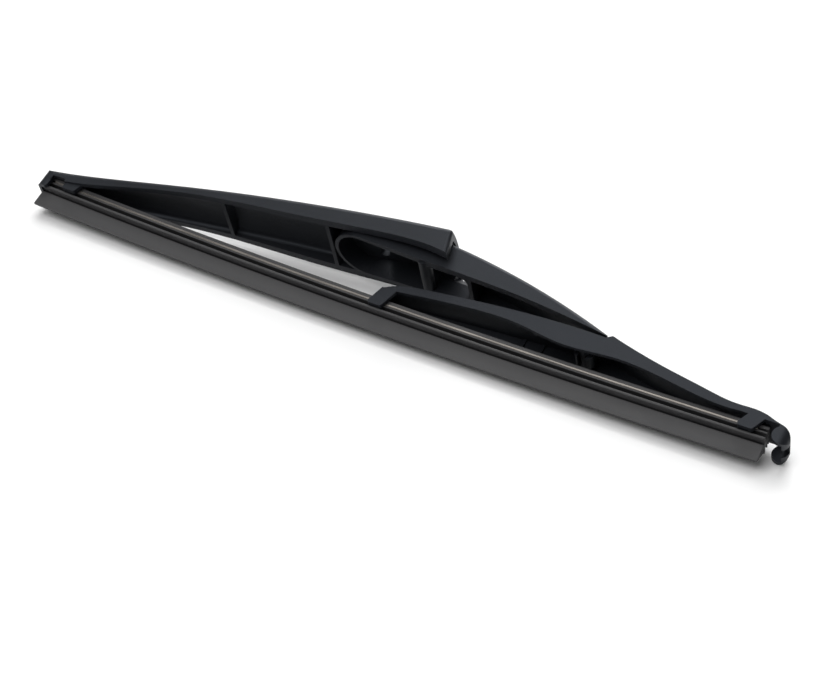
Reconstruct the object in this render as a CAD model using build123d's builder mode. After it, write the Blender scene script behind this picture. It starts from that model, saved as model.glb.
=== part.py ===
"""Rear wiper blade for a 250 mm strip, lying on its side as it comes to rest. Sizes are in millimetres.

Every outline is drawn in the blade's own directions: along its length, height away from the glass, and across.
Heights count from the straight line between the ends of the rubber's lip.
"""
import os
from math import asin, atan2, cos, degrees, sin, sqrt

from build123d import *

os.makedirs("parts", exist_ok=True)

# Rubber strip
strip_length = 250
strip_bow = 2.4
lip_height = 5.4
lip_root_half = 2.1
lip_tip_thickness = 0.8
lip_flare = 1.3
neck_height = 0.5
neck_half = 0.8
shoulder_height = 0.9
shoulder_half = 4.0
groove_height = 1.3
groove_half = 1.4
flange_height = 0.5
head_half = 3.7
slot_height = 0.8
slot_depth = 2.2
head_height = 1.3

# Spring strips in the rubber's slots
flexor_width = 2.5
flexor_thickness = 0.7
flexor_inset = 3

# Grips: claws and end caps that hold the strip
strip_clearance = 0.25
claw_length = 5
claw_lean = 2.2
grip_half = 5.7
hook_gap = 0.4

# End caps
cap_low = 5.2
left_cap_wall = 1.5
left_cap_round = 3.2
left_cap_corner = 3
left_cap_top = 13.1
left_cap_cheek = 2.6
left_claw_start = 7.6
left_window_top = 9.8
right_claw_start = strip_length - 9.4
right_cap_cheek = strip_length + 1.2
right_cap_reach = strip_length + 6.5
right_cap_round = 3
cap_wall = 1.3
cap_notch_half = 1.9
window_top = 11.2

# Outline of the right cap in places past the strip's end: over its end to its tip, and back round its cheek
cap_crown = ((3.6, 11.1), (5.6, 10), (6.5, 8.2), (5.9, 6.2))
cap_tip_place = 4
cap_cheek_top = (2.3, 10.4)
cap_cheek_reach = 8.2

# Hood of the main lever: along, half width, rim height, edge height, half width of its hollow
hood_stations = (
    (-left_cap_wall, grip_half, 8.6, 11.2, 4.6),
    (12, 6.5, 9.4, 13.1, 4.9),
    (40, 8.6, 15.6, 18.4, 6.7),
    (70, 10.8, 19.8, 23.8, 8.4),
    (105, 12.9, 23.0, 28.9, 10.1),
    (143, 14.6, 23.8, 33.0, 11.0),
)
hood_crown = 0.22
hood_round = 1.8
hood_wall = 1.5
hood_end_foot = 141.5
hood_end_top = 139
hood_end_round = 1.2
bulkhead_places = (63, 99.7)
bulkhead_thickness = 1.3
window_place = 113.8
window_size = (3, 14)

# Arm pocket and the narrow arm that runs on from it
pocket_start = 101
pocket_round = 110.8
pocket_half = 9.8
pocket_wall = 1.2
arm_start = 134
arm_half = 8.9
arm_half_place = 143
arm_wall = 2.5
arm_roof = 1.8
arm_low = 22.4
arm_low_end = 155
arm_low_bend = 172
arm_tip = 195.6
arm_tip_half = 7.2
arm_tip_height = 20.0
arm_tip_thickness = 0.6
arm_top_start = 31.9
arm_arch = 2.1
arm_round = 1.2
arm_opening_end = 148
arm_opening_round = 3
arm_opening_lip = 28.6
arm_opening_flare = 4
arm_opening_spread = 3.5
bar_place = 132.8
bar_height = 23.8
bar_diameter = 4

# Rocking joint between the levers
pivot_place = 190.5
pivot_height = 14.7
pivot_diameter = 3.4
pivot_clearance = 0.06
hook_wall = 1.3
hook_half = 2.8
hook_mouth = 2.6
hook_side_gap = 0.5
hook_reach = pivot_diameter / 2 + pivot_clearance + hook_wall

# Yoke. The points of its outlines are given as a share of the way from the pivot, -1 at its left end and 1 at its
# right cap's cheek, and a height
yoke_start = 122.6
yoke_half = 7
yoke_start_half = 5.1
yoke_end_half = grip_half
yoke_wall = 1.3
yoke_roof = 1.4
yoke_ridge = 20.1
yoke_ribs_at = (-0.31, -0.22, 0.4)
yoke_rib_thickness = 1
yoke_rib_depth = 2

yoke_back = ((-0.959, 11.2), (-0.898, 13.2), (-0.788, 14.6), (-0.523, 16.6), (-0.199, 18.4), (0.084, 18.8))
yoke_front = ((0.112, 20.1), (0.239, 18.1), (0.42, 15.9), (0.64, 13.9), (0.78, 13.0), (0.87, 13.3), (0.98, 12.1))
yoke_rim = ((0.79, 10.9), (0.486, 11.9), (0.173, 13.3), (-0.081, 11.9), (-0.302, 13.6), (-0.596, 13.2), (-0.876, 11.2))

# Heights up the strip
neck_top = lip_height + neck_height
shoulder_top = neck_top + shoulder_height
groove_top = shoulder_top + groove_height
slot_low = groove_top + flange_height
slot_top = slot_low + slot_height
head_top = slot_top + head_height

# The blade rests on the hood's rim and both end caps, which sets its tilt and its place above the floor
hood_end_half, hood_end_rim, hood_end_edge = hood_stations[-1][1:4]
tilt = atan2(hood_end_half - grip_half, hood_end_rim - cap_low)
rest_up = grip_half * cos(tilt) - cap_low * sin(tilt)
far_reach = hood_end_edge * cos(tilt) + (hood_end_half - hood_end_round) * sin(tilt)
near_reach = strip_bow * cos(tilt) + (lip_flare + lip_tip_thickness / 2) * sin(tilt)
away_shift = -(far_reach - near_reach) / 2
along_shift = -(right_cap_reach - left_cap_wall) / 2

along = Vector(1, 0, 0)
up_blade = Vector(0, cos(tilt), sin(tilt))
across = Vector(0, -sin(tilt), cos(tilt))
side = Plane(origin=(along_shift, away_shift, rest_up), x_dir=along, z_dir=across)

# The strip is bowed to a shallow arc, so its pieces are turned about this axis
bow_radius = (strip_length**2 / 4 + strip_bow**2) / (2 * strip_bow)
bow_axis = Axis(side.from_local_coords((strip_length / 2, bow_radius - strip_bow, 0)), -across)


def cross(place):
    """Plane across the blade, drawn as (across, height)"""
    return Plane(origin=side.from_local_coords((place, 0, 0)), x_dir=across, z_dir=-along)


def plan(height):
    """Plane over the strip, drawn as (along, across)"""
    return Plane(origin=side.from_local_coords((0, height, 0)), x_dir=along, z_dir=-up_blade)


def strip_line(place):
    """Height of the bowed strip's lip at a place along it"""
    return bow_radius - strip_bow - sqrt(bow_radius**2 - (place - strip_length / 2) ** 2)


def strip_plane(place):
    """Plane square to the bowed strip, drawn as (across, height)"""
    slope = asin((place - strip_length / 2) / bow_radius)
    origin = side.from_local_coords((place, strip_line(place), 0))
    return Plane(origin=origin, x_dir=across, z_dir=-along * cos(slope) - up_blade * sin(slope))


def strip_angle(start, end):
    """Turn about the bow's axis between two places along the strip, in degrees"""
    middle = strip_length / 2
    return degrees(asin((end - middle) / bow_radius) - asin((start - middle) / bow_radius))


# Rubber: one extruded strip, with its lip turned to one side
with BuildPart() as wiper_rubber:
    with BuildSketch(strip_plane(strip_length)):
        with BuildLine():
            Polyline(
                (0, lip_height),
                (neck_half, lip_height),
                (neck_half, neck_top),
                (shoulder_half - 0.6, neck_top + 0.1),
                (shoulder_half, shoulder_top - 0.4),
                (shoulder_half - 0.2, shoulder_top),
                (groove_half, shoulder_top),
                (groove_half, groove_top),
                (head_half, groove_top),
                (head_half, slot_low),
                (head_half - slot_depth, slot_low),
                (head_half - slot_depth, slot_top),
                (head_half, slot_top),
                (head_half, head_top - 0.5),
                (head_half - 0.5, head_top),
                (0, head_top),
                close=True,
            )
        make_face()
        mirror(about=Plane.YZ)
        with BuildLine():
            Polyline(
                (lip_flare - lip_tip_thickness / 2, 0),
                (lip_flare + lip_tip_thickness / 2, 0),
                (lip_root_half, lip_height - 0.3),
                (lip_root_half - 0.3, lip_height),
                (0.3 - lip_root_half, lip_height),
                (-lip_root_half, lip_height - 0.3),
                close=True,
            )
        make_face()
    revolve(axis=bow_axis, revolution_arc=strip_angle(0, strip_length))
wiper_rubber.part.label = "wiper_rubber"
export_step(wiper_rubber.part, "parts/wiper_rubber.step")


def flexor(side_sign):
    """One spring strip, seated against the back of its slot"""
    with BuildPart() as strip:
        with BuildSketch(strip_plane(strip_length - flexor_inset)):
            with Locations((side_sign * (head_half - slot_depth + flexor_width / 2), (slot_low + slot_top) / 2)):
                Rectangle(flexor_width, flexor_thickness)
        revolve(axis=bow_axis, revolution_arc=strip_angle(flexor_inset, strip_length - flexor_inset))
    return strip


# Two spring strips in the slots of the rubber's head
for name, side_sign in (("flexor_near", 1), ("flexor_far", -1)):
    strip = flexor(side_sign)
    strip.part.label = name
    export_step(strip.part, f"parts/{name}.step")


def way_section(place):
    """Section of the way for the strip: wide for its head and flange, narrow for its groove"""
    with BuildSketch(strip_plane(place)) as section:
        with Locations((0, groove_top - strip_clearance)):
            Rectangle(
                2 * (shoulder_half + strip_clearance),
                head_top - groove_top + 2 * strip_clearance,
                align=(Align.CENTER, Align.MIN),
            )
        with Locations((0, groove_top)):
            Rectangle(2 * (groove_half + hook_gap), head_top, align=(Align.CENTER, Align.MAX))
    return section.sketch


# Ways for the strip: a bowed one through the yoke, a straight one through the left claws and one through its cap
right_inner = right_cap_reach - cap_wall
with BuildPart() as yoke_way:
    add(way_section(right_inner))
    revolve(axis=bow_axis, revolution_arc=strip_angle(yoke_start - claw_length, right_inner))

with BuildPart() as left_way:
    left_claw_end = left_claw_start + claw_length + claw_lean
    cheek_plane = strip_plane(left_cap_cheek)
    add(way_section(left_cap_cheek))
    extrude(amount=left_claw_end - left_cap_cheek, dir=-cheek_plane.z_dir)
    with BuildSketch(cheek_plane):
        Rectangle(2 * (shoulder_half + strip_clearance), 2 * (head_top + strip_clearance))
    extrude(amount=left_cap_cheek)


def claw_sketch(start, top):
    """Side outline of one claw pair, leaning towards the right end and rounded where it grips"""
    middle = start + claw_length / 2
    low = shoulder_top + hook_gap / 2 + strip_line(middle)
    with BuildSketch() as outline:
        with BuildLine():
            Polyline(
                (start, low),
                (start + claw_length, low),
                (start + claw_length + claw_lean, top),
                (start + claw_lean, top),
                close=True,
            )
        make_face()
        fillet(outline.vertices().group_by(Axis.Y)[0], 0.8)
    return outline.sketch


def hood_section(place, half, low, edge):
    """Section of the hood: upright sides, crowned roof, rounded corners"""
    with BuildSketch(cross(place)) as section:
        with BuildLine():
            Polyline((-half, edge), (-half, low), (half, low), (half, edge))
            ThreePointArc((half, edge), (0, edge + hood_crown * half), (-half, edge))
        make_face()
        fillet(section.vertices().group_by(Axis.Y)[-1], hood_round)
    return section.sketch


# Hood: its outer form, a form out to the middle of its walls that limits what stands inside, and its hollow
with BuildPart() as hood_form:
    for place, half, rim, edge, hollow_half in hood_stations:
        add(hood_section(place, half, rim, edge))
    loft()
    with BuildSketch(side):
        slant = (hood_end_foot - hood_end_top) / (hood_end_edge - hood_end_rim)
        Polygon(
            (hood_end_foot + slant * hood_end_rim, 0),
            (hood_end_foot - slant * hood_end_edge, hood_end_edge + hood_end_rim),
            (2 * hood_end_foot, hood_end_edge + hood_end_rim),
            (2 * hood_end_foot, 0),
            align=None,
        )
    extrude(amount=2 * hood_end_half, both=True, mode=Mode.SUBTRACT)
    end_edges = hood_form.faces().sort_by(Axis.X)[-1].edges().sort_by(Axis((0, 0, 0), up_blade))
    fillet(end_edges[1:], hood_end_round)

with BuildPart() as hood_core:
    for place, half, rim, edge, hollow_half in hood_stations:
        add(hood_section(place, (half + hollow_half) / 2, 0, edge - hood_wall / 2))
    loft()

with BuildPart() as hood_hollow:
    for place, half, rim, edge, hollow_half in hood_stations:
        start = max(place, 0)
        add(hood_section(start, hollow_half, 0, edge - hood_wall))
    loft()

pocket_end = hood_end_top - 0.5
half_slope = (arm_half - arm_tip_half) / (arm_tip - arm_half_place)
pocket_end_half = arm_half + half_slope * (arm_half_place - pocket_end)

# Arm pocket: a thin wall with a round end, standing in the hood's hollow and reaching a little below its rim
with BuildPart() as pocket:
    with BuildSketch(plan(0)):
        with BuildLine():
            Polyline((pocket_round, pocket_half), (pocket_end, pocket_end_half), (pocket_end, -pocket_end_half))
            Line((pocket_end, -pocket_end_half), (pocket_round, -pocket_half))
            ThreePointArc((pocket_round, -pocket_half), (pocket_start, 0), (pocket_round, pocket_half))
        make_face()
        with BuildLine():
            inner = pocket_half - pocket_wall
            inner_end = pocket_end_half - arm_wall
            Polyline((pocket_round, inner), (pocket_end, inner_end), (pocket_end, -inner_end), (pocket_round, -inner))
            ThreePointArc((pocket_round, -inner), (pocket_start + pocket_wall, 0), (pocket_round, inner))
        make_face(mode=Mode.SUBTRACT)
    extrude(amount=-2 * hood_end_edge)
    add(hood_core.part, mode=Mode.INTERSECT)
    with BuildSketch(side):
        with Locations((pocket_start, 0)):
            Rectangle(pocket_end - pocket_start, arm_low, align=(Align.MIN, Align.MIN))
    extrude(amount=2 * pocket_half, both=True, mode=Mode.SUBTRACT)

# Narrow arm: runs on from the pocket, arches down and thins to a tip over the yoke
with BuildPart() as arm:
    with BuildSketch(side) as arm_side:
        with BuildLine():
            foot = (arm_start, arm_low)
            shoulder = (arm_start, arm_top_start)
            tip = (arm_tip, arm_tip_height)
            tip_foot = (arm_tip, arm_tip_height - arm_tip_thickness)
            Line(foot, shoulder)
            middle = ((arm_start + arm_tip) / 2, (arm_top_start + arm_tip_height) / 2 + arm_arch)
            ThreePointArc(shoulder, middle, tip)
            Line(tip, tip_foot)
            Bezier(tip_foot, (arm_low_bend, arm_low), (arm_low_end, arm_low))
            Line((arm_low_end, arm_low), foot)
        make_face()
    extrude(amount=pocket_half, both=True)
    with BuildSketch(plan(0)):
        with BuildLine():
            start_half = arm_half + half_slope * (arm_half_place - arm_start)
            Polyline(
                (arm_start, -start_half),
                (arm_start, start_half),
                (arm_tip, arm_tip_half),
                (arm_tip, -arm_tip_half),
                close=True,
            )
        make_face()
    extrude(amount=-2 * hood_end_edge, mode=Mode.INTERSECT)
    top_face = arm.faces().sort_by(Axis((0, 0, 0), up_blade))[-1]
    fillet(top_face.edges().sort_by(SortBy.LENGTH)[-2:], arm_round)

# Hollow under the narrow arm
inner_half = arm_half - arm_wall
with BuildPart() as arm_hollow:
    with BuildSketch(side):
        with BuildLine():
            hollow_start = (arm_start, arm_top_start - arm_roof)
            hollow_end = (arm_tip, arm_tip_height - arm_roof)
            hollow_middle = (middle[0], middle[1] - arm_roof)
            Polyline(hollow_end, (arm_tip, 0), (arm_start, 0), hollow_start)
            ThreePointArc(hollow_start, hollow_middle, hollow_end)
        make_face()
    extrude(amount=pocket_half, both=True)
    with BuildSketch(plan(0)):
        with BuildLine():
            Polyline(
                (arm_opening_end + bulkhead_thickness, -inner_half),
                (arm_opening_end + bulkhead_thickness, inner_half),
                (arm_tip, arm_tip_half - arm_wall),
                (arm_tip, arm_wall - arm_tip_half),
                close=True,
            )
        make_face()
    extrude(amount=-2 * hood_end_edge, mode=Mode.INTERSECT)


def opening_section(height, spread):
    """Outline of the arm's opening at a height, spread outwards by an amount"""
    end = arm_opening_end + spread
    with BuildSketch(plan(height)) as section:
        with Locations((end, 0)):
            Rectangle(end - bar_place, 2 * (inner_half + spread), align=(Align.MAX, Align.CENTER))
        fillet(section.vertices().group_by(Axis.X)[-1], arm_opening_round + spread)
    return section.sketch


# Opening that the wiper arm comes through: straight walls that flare out at the lever's back
with BuildPart() as arm_opening:
    add(opening_section(0, 0))
    extrude(amount=2 * hood_end_edge, dir=up_blade)
    add(opening_section(arm_opening_lip, 0))
    add(opening_section(arm_opening_lip + arm_opening_flare, arm_opening_spread))
    loft()

with BuildPart() as arm_shell:
    add(arm.part)
    add(arm_hollow.part, mode=Mode.SUBTRACT)
    add(arm_opening.part, mode=Mode.SUBTRACT)

# Small window through the hood's roof over the pocket, and the open sides between the left cap and its claws
with BuildPart() as roof_window:
    with BuildSketch(plan(hood_end_rim)):
        with Locations((window_place, 0)):
            RectangleRounded(*window_size, 1)
    extrude(amount=-hood_end_edge)

with BuildPart() as left_round_off:
    with BuildSketch(side):
        with Locations((-left_cap_wall, left_cap_top - left_cap_round)):
            Rectangle(left_cap_round, left_cap_top, align=(Align.MIN, Align.MIN))
        with Locations((left_cap_round - left_cap_wall, left_cap_top - left_cap_round)):
            Circle(left_cap_round, mode=Mode.SUBTRACT)
    extrude(amount=2 * grip_half, both=True)
    for side_sign in (1, -1):
        with BuildSketch(plan(0)):
            with Locations((-left_cap_wall, side_sign * grip_half)):
                Rectangle(2 * left_cap_corner, 2 * left_cap_corner)
            with Locations((left_cap_corner - left_cap_wall, side_sign * (grip_half - left_cap_corner))):
                Circle(left_cap_corner, mode=Mode.SUBTRACT)
                Rectangle(
                    4 * left_cap_corner,
                    2 * left_cap_corner,
                    align=(Align.CENTER, Align.MAX if side_sign > 0 else Align.MIN),
                    mode=Mode.SUBTRACT,
                )
        extrude(amount=-2 * left_cap_top)

with BuildPart() as left_window:
    with BuildSketch(side):
        with Locations((left_cap_cheek, 0)):
            Rectangle(left_claw_start - left_cap_cheek, left_window_top, align=(Align.MIN, Align.MIN))
    extrude(amount=hood_end_half, both=True)

# Plates across the hood's hollow
with BuildPart() as bulkheads:
    for place in bulkhead_places:
        with BuildSketch(cross(place)):
            Rectangle(2 * hood_end_half, 2 * hood_end_edge)
        extrude(amount=bulkhead_thickness / 2, both=True)
    add(hood_form.part, mode=Mode.INTERSECT)
    add(hood_core.part, mode=Mode.INTERSECT)

# Left end: a cap that stops the strip, and a claw pair
with BuildPart() as left_grip:
    with BuildSketch(side) as left_cap:
        with BuildLine():
            Polyline(
                (-left_cap_wall, hood_stations[0][3]),
                (-left_cap_wall, cap_low),
                (left_cap_cheek, cap_low),
                (left_cap_cheek, hood_stations[0][3]),
                close=True,
            )
        make_face()
        fillet(left_cap.vertices().group_by(Axis.Y)[0], 1)
        add(claw_sketch(left_claw_start, hood_stations[1][3] - hood_wall / 2))
    extrude(amount=grip_half, both=True)
    with BuildSketch(plan(head_top)):
        with Locations((left_claw_end, 0)):
            Rectangle(
                left_claw_end - left_cap_cheek,
                2 * (shoulder_half + strip_clearance),
                align=(Align.MAX, Align.CENTER),
            )
    extrude(amount=-head_top, mode=Mode.SUBTRACT)

# Snap hook under the tip of the arm, open towards the glass
with BuildPart() as snap_hook:
    with BuildSketch(side):
        with Locations((pivot_place, pivot_height)):
            Circle(hook_reach)
            Rectangle(
                2 * hook_wall,
                arm_tip_height + arm_tip_thickness - pivot_height,
                align=(Align.CENTER, Align.MIN),
            )
            Circle(pivot_diameter / 2 + pivot_clearance, mode=Mode.SUBTRACT)
            Rectangle(hook_mouth, pivot_diameter + 2 * hook_wall, align=(Align.CENTER, Align.MAX), mode=Mode.SUBTRACT)
    extrude(amount=hook_half, both=True)

with BuildPart() as main_lever:
    add(hood_form.part)
    add(hood_hollow.part, mode=Mode.SUBTRACT)
    add(bulkheads.part)
    add(arm_shell.part)
    add(pocket.part)
    with BuildSketch(side):
        with Locations((bar_place, bar_height)):
            Circle(bar_diameter / 2)
    extrude(amount=pocket_end_half - arm_wall / 2, both=True)
    add(roof_window.part, mode=Mode.SUBTRACT)
    add(left_window.part, mode=Mode.SUBTRACT)
    add(left_grip.part)
    add(left_round_off.part, mode=Mode.SUBTRACT)
    add(left_way.part, mode=Mode.SUBTRACT)
    add(snap_hook.part)
main_lever.part.label = "main_lever"
export_step(main_lever.part, "parts/main_lever.step")


def yoke_points(outline, drop=0):
    """Points of one of the yoke's outlines, lowered by a drop"""
    runs = {True: right_cap_cheek - pivot_place, False: pivot_place - yoke_start}
    return [(pivot_place + share * runs[share > 0], height - drop) for share, height in outline]


def yoke_top(drop):
    """The yoke's upper line, lowered by a drop: a long back, the notch under the arm's tip, and a sloping front"""
    back = Spline(yoke_points(yoke_back, drop))
    front = Spline(yoke_points(yoke_front, drop))
    Line(back @ 1, front @ 0)
    return back @ 0, front @ 1


# Yoke: its outer form with claws and cap, as a side outline narrowed by a plan outline
with BuildPart() as yoke_form:
    with BuildSketch(side):
        with BuildLine():
            back_start, front_end = yoke_top(0)
            crown = [(strip_length + past, height) for past, height in cap_crown]
            cap_tip = (strip_length + cap_tip_place, cap_low)
            cheek_top = (strip_length + cap_cheek_top[0], cap_cheek_top[1])
            rim = yoke_points(yoke_rim)
            Spline([front_end, *crown, cap_tip])
            ThreePointArc(cap_tip, (right_cap_cheek, cap_cheek_reach), cheek_top)
            Polyline(cheek_top, (cheek_top[0], window_top), (right_claw_start, window_top))
            Spline([(right_claw_start, window_top), *rim])
            Line(rim[-1], back_start)
        make_face()
        add(claw_sketch(yoke_start, rim[-1][1]))
        add(claw_sketch(right_claw_start, window_top))
    extrude(amount=2 * yoke_half, both=True)
    with BuildSketch(plan(0)) as yoke_plan:
        with BuildLine():
            belly = ThreePointArc(
                (yoke_start, yoke_start_half), (pivot_place, yoke_half), (right_claw_start, yoke_end_half)
            )
            mirror(belly, about=Plane.XZ)
            Line(belly @ 0, (yoke_start, -yoke_start_half))
            Polyline(
                belly @ 1,
                (right_cap_reach, yoke_end_half),
                (right_cap_reach, -yoke_end_half),
                (right_claw_start, -yoke_end_half),
            )
        make_face()
        fillet(yoke_plan.vertices().group_by(Axis.X)[-1], right_cap_round)
    extrude(amount=-2 * hood_end_edge, mode=Mode.INTERSECT)

with BuildPart() as yoke_hollow:
    with BuildSketch(side):
        with BuildLine():
            back_start, front_end = yoke_top(yoke_roof)
            low = groove_top - strip_clearance
            left_end = back_start.X
            middle = (left_end + right_inner) / 2
            Line(front_end, (right_inner, low + strip_line(right_inner)))
            ThreePointArc(
                (right_inner, low + strip_line(right_inner)),
                (middle, low + strip_line(middle)),
                (left_end, low + strip_line(left_end)),
            )
            Line((left_end, low + strip_line(left_end)), back_start)
        make_face()
    extrude(amount=2 * yoke_half, both=True)
    with BuildSketch(plan(0)):
        with BuildLine():
            inner_start = yoke_start_half - yoke_wall
            inner_middle = yoke_half - yoke_wall
            inner_end = yoke_end_half - yoke_wall
            belly = ThreePointArc((yoke_start, inner_start), (pivot_place, inner_middle), (right_claw_start, inner_end))
            mirror(belly, about=Plane.XZ)
            Line(belly @ 0, (yoke_start, -inner_start))
            Polyline(
                belly @ 1,
                (right_inner, inner_end),
                (right_inner, -inner_end),
                (right_claw_start, -inner_end),
            )
        make_face()
    extrude(amount=-2 * hood_end_edge, mode=Mode.INTERSECT)

# Short ribs that stiffen the yoke's side walls
with BuildPart() as yoke_ribs:
    for place, height in yoke_points([(share, window_top) for share in yoke_ribs_at]):
        for side_sign in (1, -1):
            with BuildSketch(cross(place)):
                with Locations((side_sign * (yoke_half - yoke_rib_depth / 2), height)):
                    Rectangle(yoke_rib_depth, yoke_ridge, align=(Align.CENTER, Align.MIN))
            extrude(amount=yoke_rib_thickness / 2, both=True)
    add(yoke_form.part, mode=Mode.INTERSECT)

with BuildPart() as yoke:
    add(yoke_form.part)
    add(yoke_hollow.part, mode=Mode.SUBTRACT)
    add(yoke_way.part, mode=Mode.SUBTRACT)
    with BuildSketch(strip_plane(right_inner)):
        Rectangle(2 * (shoulder_half + strip_clearance), 2 * (head_top + strip_clearance))
    extrude(amount=right_inner - right_cap_cheek, mode=Mode.SUBTRACT)
    with BuildSketch(cross(right_cap_cheek)):
        with Locations((0, groove_top)):
            Rectangle(2 * cap_notch_half, groove_top, align=(Align.CENTER, Align.MAX))
    extrude(amount=right_cap_cheek - right_cap_reach, mode=Mode.SUBTRACT)
    with BuildSketch(plan(pivot_height)):
        with Locations((pivot_place, 0)):
            Rectangle(2 * hook_reach + 2 * hook_side_gap, 2 * hook_half + 2 * hook_side_gap)
    extrude(amount=-yoke_ridge, mode=Mode.SUBTRACT)
    add(yoke_ribs.part)
    with BuildSketch(side):
        with Locations((pivot_place, pivot_height)):
            Circle(pivot_diameter / 2)
    extrude(amount=yoke_half - yoke_wall / 2, both=True)
yoke.part.label = "yoke"
export_step(yoke.part, "parts/yoke.step")
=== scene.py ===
"""Rear wiper blade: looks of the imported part, in metres"""
from math import asin, cos, radians, sin

import bmesh
import bpy
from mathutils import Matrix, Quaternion, Vector


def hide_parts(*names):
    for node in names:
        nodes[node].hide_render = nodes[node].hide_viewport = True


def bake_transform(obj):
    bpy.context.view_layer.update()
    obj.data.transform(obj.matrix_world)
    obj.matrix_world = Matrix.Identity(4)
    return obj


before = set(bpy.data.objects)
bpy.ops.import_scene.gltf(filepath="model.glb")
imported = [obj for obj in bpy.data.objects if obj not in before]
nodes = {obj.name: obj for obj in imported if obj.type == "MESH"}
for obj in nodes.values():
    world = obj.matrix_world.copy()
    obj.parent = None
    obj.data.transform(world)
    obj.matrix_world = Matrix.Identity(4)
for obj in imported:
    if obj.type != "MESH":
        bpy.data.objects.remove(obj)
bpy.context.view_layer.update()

# The blade's own frame, as the part has it: along, up from the glass, and across, in millimetres
tilt = radians(25.5709)
along = Vector((1, 0, 0))
up_blade = Vector((0, cos(tilt), sin(tilt)))
across = Vector((0, -sin(tilt), cos(tilt)))
blade_origin = Vector((-127.5, -16.3264, 2.8972))
strip_length = 250
strip_bow = 2.4
strip_steps = 100
bow_radius = (strip_length**2 / 4 + strip_bow**2) / (2 * strip_bow)

# Section of the rubber in millimetres: half widths and heights, from the lip's edge up to the top of the head
lip_edge_near = 1.7
lip_edge_far = 0.9
lip_root_half = 2.1
lip_height = 5.4
lip_chamfer = 0.3
neck_half = 0.8
neck_top = 5.9
shoulder_half = 4.0
shoulder_top = 6.8
groove_half = 1.4
head_low = 8.1
head_half = 3.7
head_top = 10.7
slot_half = 1.5
slot_low = 8.6
slot_top = 9.4
edge_round = 0.1

# Spring strips in the slots, in millimetres
spring_outer = 3.85
spring_low = 8.65
spring_high = 9.35
spring_edge = 0.12
spring_inset = 3

# Softened edges of the levers in metres, and the sharpest bend that stays as it is
softening = 0.00025
softened_from = radians(35)


def blade_point(place, height, side):
    """Point in metres for a place in the blade's own frame"""
    return (blade_origin + place * along + height * up_blade + side * across) / 1000


def strip_point(place, height, side):
    """Point on the bowed strip: place along it, height above its lip, and side"""
    slope = asin((place - strip_length / 2) / bow_radius)
    middle = bow_radius - strip_bow
    reach = bow_radius - height
    return blade_point(strip_length / 2 + reach * sin(slope), middle - reach * cos(slope), side)


# Camera at the photograph's angle
view_azimuth = radians(26.119)
view_elevation = radians(32.011)
view_roll = radians(5.169)
view_target = Vector((-0.007035, 0.022545, -0.02613))
view_distance = 0.6436
view_sensor = 36
view_lens = 86.95

view_back = Vector(
    (
        sin(view_azimuth) * cos(view_elevation),
        -cos(view_azimuth) * cos(view_elevation),
        sin(view_elevation),
    )
)
camera = bpy.data.objects.new("camera", bpy.data.cameras.new("camera"))
bpy.context.collection.objects.link(camera)
camera.rotation_mode = "QUATERNION"
camera.rotation_quaternion = (-view_back).to_track_quat("-Z", "Y") @ Quaternion((0, 0, 1), view_roll)
camera.location = view_target + view_distance * view_back
camera.data.sensor_width = view_sensor
camera.data.lens = view_lens
camera.data.clip_start = 0.01
camera.data.clip_end = 20
bpy.context.scene.camera = camera


class Shader:
    """A material made of nodes"""

    def __init__(self, name):
        self.material = bpy.data.materials.new(name)
        self.material.use_nodes = True
        self.tree = self.material.node_tree
        self.surface = self.tree.nodes["Principled BSDF"]

    def node(self, kind, inputs):
        """New node with its inputs set or linked"""
        made = self.tree.nodes.new(kind)
        for name, value in inputs.items():
            self.put(made, name, value)
        return made

    def put(self, node, name, value):
        """Links an input to another node's output, or sets its value"""
        if isinstance(value, bpy.types.NodeSocket):
            self.tree.links.new(value, node.inputs[name])
        else:
            node.inputs[name].default_value = value

    def place(self, scale=(1, 1, 1)):
        """Object coordinates in metres, scaled"""
        coordinates = self.node("ShaderNodeTexCoord", {}).outputs["Object"]
        mapped = self.node("ShaderNodeMapping", {"Vector": coordinates, "Scale": scale})
        return mapped.outputs["Vector"]

    def noise(self, vector, scale, detail, roughness):
        """Fractal noise around a half"""
        made = self.node(
            "ShaderNodeTexNoise",
            {"Vector": vector, "Scale": scale, "Detail": detail, "Roughness": roughness},
        )
        return made.outputs["Fac"]

    def spread(self, value, low, high, start, end):
        """Maps start to end onto low to high"""
        made = self.node(
            "ShaderNodeMapRange",
            {"Value": value, "From Min": start, "From Max": end, "To Min": low, "To Max": high},
        )
        return made.outputs["Result"]

    def colours(self, value, *stops):
        """Blend between two colours, each at its place"""
        ramp = self.node("ShaderNodeValToRGB", {"Fac": value})
        elements = ramp.color_ramp.elements
        for element, (place, colour) in zip(elements, stops):
            element.position = place
            element.color = (*colour, 1)
        return ramp.outputs["Color"]

    def bump(self, height, strength, distance):
        """Normal for a height, its distance in metres"""
        inputs = {"Height": height, "Strength": strength, "Distance": distance}
        return self.node("ShaderNodeBump", inputs).outputs["Normal"]

    def finish(self, **inputs):
        """Sets the surface's inputs and gives the material"""
        for name, value in inputs.items():
            self.put(self.surface, name.replace("_", " "), value)
        return self.material


def lever_plastic():
    """Black moulded plastic: fine spark-eroded grain, slight wear in its gloss"""
    shader = Shader("lever_plastic")
    grain = shader.noise(shader.place(), 2600, 3, 0.6)
    cloud = shader.noise(shader.place(), 45, 3, 0.5)
    colour = shader.colours(cloud, (0.3, (0.0075, 0.0082, 0.0102)), (0.7, (0.0105, 0.0113, 0.0138)))
    return shader.finish(
        Base_Color=colour,
        Specular_IOR_Level=0.28,
        Specular_Tint=(0.82, 0.89, 1, 1),
        Roughness=shader.spread(cloud, 0.4, 0.52, 0.3, 0.7),
        Normal=shader.bump(grain, 0.35, 0.00006),
    )


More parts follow.
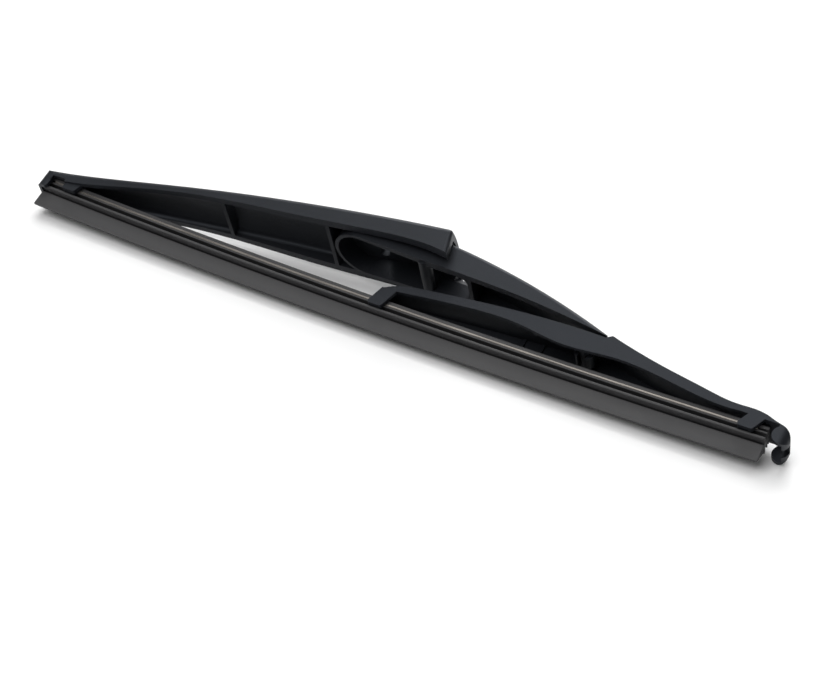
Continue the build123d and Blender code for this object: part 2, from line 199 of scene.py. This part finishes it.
def strip_rubber():
    """Extruded black rubber: fine lines along the strip and a faint bloom"""
    shader = Shader("strip_rubber")
    streaks = shader.noise(shader.place(scale=(0.02, 1, 1)), 2200, 3, 0.6)
    bloom = shader.noise(shader.place(scale=(0.3, 1, 1)), 160, 4, 0.6)
    colour = shader.colours(bloom, (0.3, (0.031, 0.0305, 0.032)), (0.75, (0.042, 0.0415, 0.0435)))
    return shader.finish(
        Base_Color=colour,
        Roughness=shader.spread(bloom, 0.5, 0.66, 0.3, 0.7),
        Normal=shader.bump(streaks, 0.25, 0.00005),
    )


def spring_steel():
    """Cold-rolled spring strip: drawn lines along it, slightly warm"""
    shader = Shader("spring_steel")
    lines = shader.noise(shader.place(scale=(0.01, 1, 1)), 6000, 3, 0.7)
    colour = shader.colours(lines, (0.35, (0.13, 0.12, 0.11)), (0.65, (0.29, 0.267, 0.243)))
    return shader.finish(
        Base_Color=colour,
        Metallic=1.0,
        Roughness=shader.spread(lines, 0.26, 0.42, 0.3, 0.7),
        Normal=shader.bump(lines, 0.2, 0.00002),
    )


plastic = lever_plastic()
rubber = strip_rubber()
steel = spring_steel()


def swept_strip(name, outline, start, end, material):
    """Closed section swept along the bowed strip, with flat ends; outline points are (side, height)"""
    mesh = bpy.data.meshes.new(name)
    build = bmesh.new()
    rings = []
    for step in range(strip_steps + 1):
        place = start + (end - start) * step / strip_steps
        rings.append([build.verts.new(strip_point(place, height, side)) for side, height in outline])
    count = len(outline)
    for ring, following in zip(rings, rings[1:]):
        for index in range(count):
            corner = (index + 1) % count
            build.faces.new((ring[index], ring[corner], following[corner], following[index]))
    build.faces.new(rings[0][::-1])
    build.faces.new(rings[-1])
    bmesh.ops.recalc_face_normals(build, faces=build.faces)
    build.to_mesh(mesh)
    build.free()
    piece = bpy.data.objects.new(name, mesh)
    bpy.context.collection.objects.link(piece)
    mesh.materials.append(material)
    return piece


# Rubber: section of the extruded strip, from the middle of its lip round to the top of its head and back
near_side = [
    (lip_edge_near, 0),
    (lip_root_half, lip_height - lip_chamfer),
    (lip_root_half - lip_chamfer, lip_height),
    (neck_half, lip_height),
    (neck_half, neck_top),
    (shoulder_half - 6 * edge_round, neck_top + edge_round),
    (shoulder_half - 1.5 * edge_round, neck_top + 2 * edge_round),
    (shoulder_half, shoulder_top - 4 * edge_round),
    (shoulder_half - 0.5 * edge_round, shoulder_top - edge_round),
    (shoulder_half - 2 * edge_round, shoulder_top),
    (groove_half, shoulder_top),
    (groove_half, head_low),
    (head_half - edge_round, head_low),
    (head_half, head_low + edge_round),
    (head_half, slot_low),
    (slot_half, slot_low),
    (slot_half, slot_top),
    (head_half, slot_top),
    (head_half, head_top - 5 * edge_round),
    (head_half - 1.5 * edge_round, head_top - 1.5 * edge_round),
    (head_half - 5 * edge_round, head_top),
]
far_side = [(-side, height) for side, height in near_side[1:]][::-1] + [(lip_edge_far, 0)]
strip_piece = swept_strip("rubber_strip", near_side + far_side, 0, strip_length, rubber)
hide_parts("wiper_rubber")

# Spring strips, rounded along their edges as rolled strip is
spring_section = [
    (slot_half, spring_low + spring_edge),
    (slot_half + spring_edge, spring_low),
    (spring_outer - spring_edge, spring_low),
    (spring_outer, spring_low + spring_edge),
    (spring_outer, spring_high - spring_edge),
    (spring_outer - spring_edge, spring_high),
    (slot_half + spring_edge, spring_high),
    (slot_half, spring_high - spring_edge),
]
for name, sign in (("near", 1), ("far", -1)):
    section = [(sign * side, height) for side, height in spring_section]
    spring = swept_strip(f"spring_{name}", section, spring_inset, strip_length - spring_inset, steel)
    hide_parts(f"flexor_{name}")

# The strip is held by the main lever's claws at the left and by the yoke's from its middle on; here its
# pieces only have their placement baked into their meshes
for name in ("rubber_strip", "spring_near", "spring_far"):
    piece = bpy.data.objects[name]
    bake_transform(piece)

# Levers: the parts as modelled, with softened edges
for name in ("main_lever", "yoke"):
    node = nodes[name]
    node.data.materials.clear()
    node.data.materials.append(plastic)
    softened = node.modifiers.new("softened", "BEVEL")
    softened.width = softening
    softened.segments = 2
    softened.limit_method = "ANGLE"
    softened.angle_limit = softened_from

# Floor and light
floor_shader = Shader("floor")
floor_material = floor_shader.finish(Base_Color=(0.92, 0.92, 0.92, 1), Roughness=0.9)
floor_mesh = bpy.data.meshes.new("floor")
floor_half = 6
floor_mesh.from_pydata(
    [
        (-floor_half, -floor_half, 0),
        (floor_half, -floor_half, 0),
        (floor_half, floor_half, 0),
        (-floor_half, floor_half, 0),
    ],
    [],
    [(0, 1, 2, 3)],
)
floor = bpy.data.objects.new("floor", floor_mesh)
bpy.context.collection.objects.link(floor)
floor_mesh.materials.append(floor_material)

world = bpy.data.worlds.new("studio")
bpy.context.scene.world = world
world.use_nodes = True
background = world.node_tree.nodes["Background"]
background.inputs["Color"].default_value = (1, 1, 1, 1)
background.inputs["Strength"].default_value = 0.2


light_size = 1.8


def soft_light(name, place, power):
    """Square area light at a place, turned to the blade"""
    data = bpy.data.lights.new(name, "AREA")
    data.size = light_size
    data.energy = power
    lamp = bpy.data.objects.new(name, data)
    bpy.context.collection.objects.link(lamp)
    lamp.location = place
    lamp.rotation_mode = "QUATERNION"
    lamp.rotation_quaternion = (-Vector(place)).to_track_quat("-Z", "Y")


# Three large soft lights: overhead, behind the blade, and a fill from the front left
soft_light("overhead", (-0.2, 0.7, 2.2), 19)
soft_light("behind", (-0.6, 1.8, 1.5), 42)
soft_light("front_fill", (-0.6, -1.2, 1.8), 31)
bpy.context.scene.view_settings.view_transform = "Standard"
